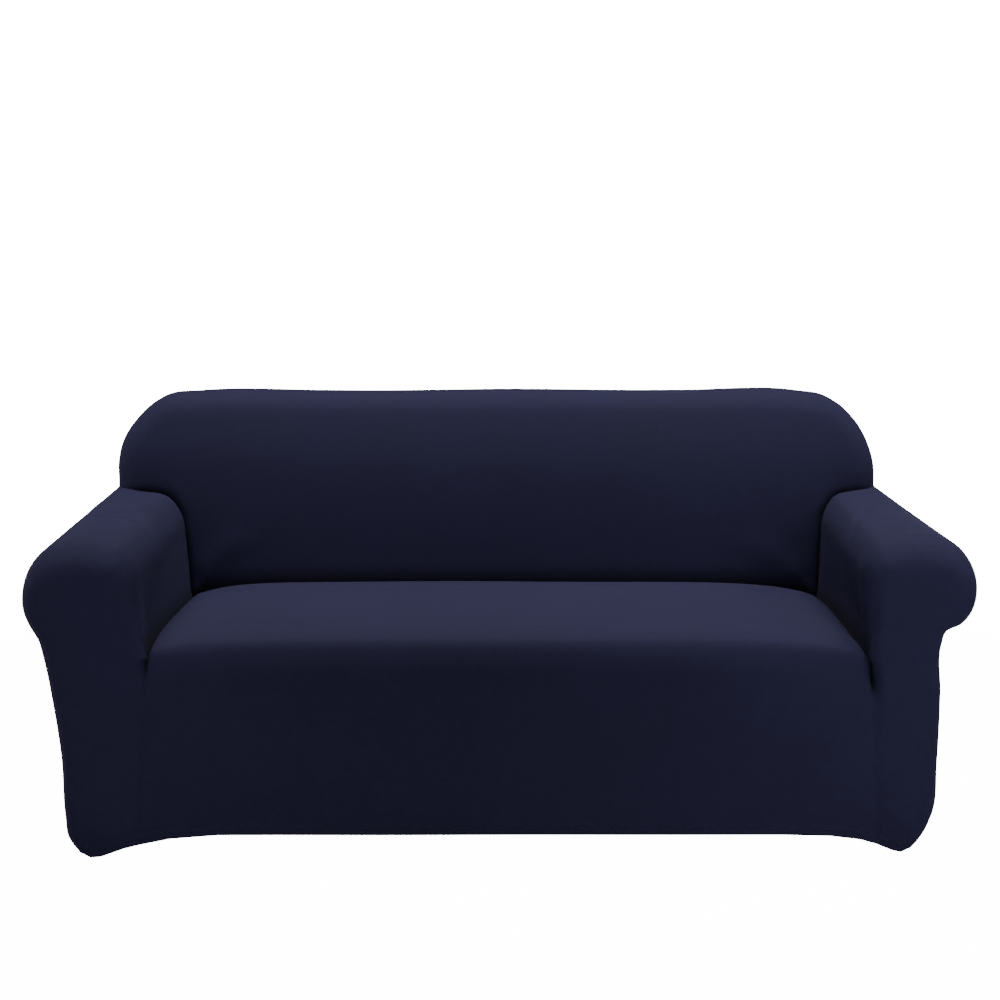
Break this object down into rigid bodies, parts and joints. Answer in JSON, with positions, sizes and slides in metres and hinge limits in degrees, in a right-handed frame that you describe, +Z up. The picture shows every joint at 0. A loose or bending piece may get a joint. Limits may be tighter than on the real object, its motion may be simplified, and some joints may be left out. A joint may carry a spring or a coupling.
{
  "type": "sofa slipcover",
  "caption": "Fitted stretch-jersey slipcover, hollow, in the shape it takes over a two-seat sofa with rolled arms and a rounded back.",
  "frame": {"origin": "on the floor, under the middle of the cover", "axes": "+X along the width, to the right as seen from the front; +Y from the front to the rear; +Z up"},
  "size_m": [1.8814, 0.868, 0.857],
  "materials": {
    "navy_jersey": "fine matt stretch jersey, dark navy"
  },
  "bodies": {
    "root": {"seat_and_apron": "navy_jersey", "inside_back": "navy_jersey", "outside_back": "navy_jersey", "arm_right": "navy_jersey", "arm_left": "navy_jersey", "arm_front_right": "navy_jersey", "arm_front_left": "navy_jersey"}
  },
  "joints": []
}
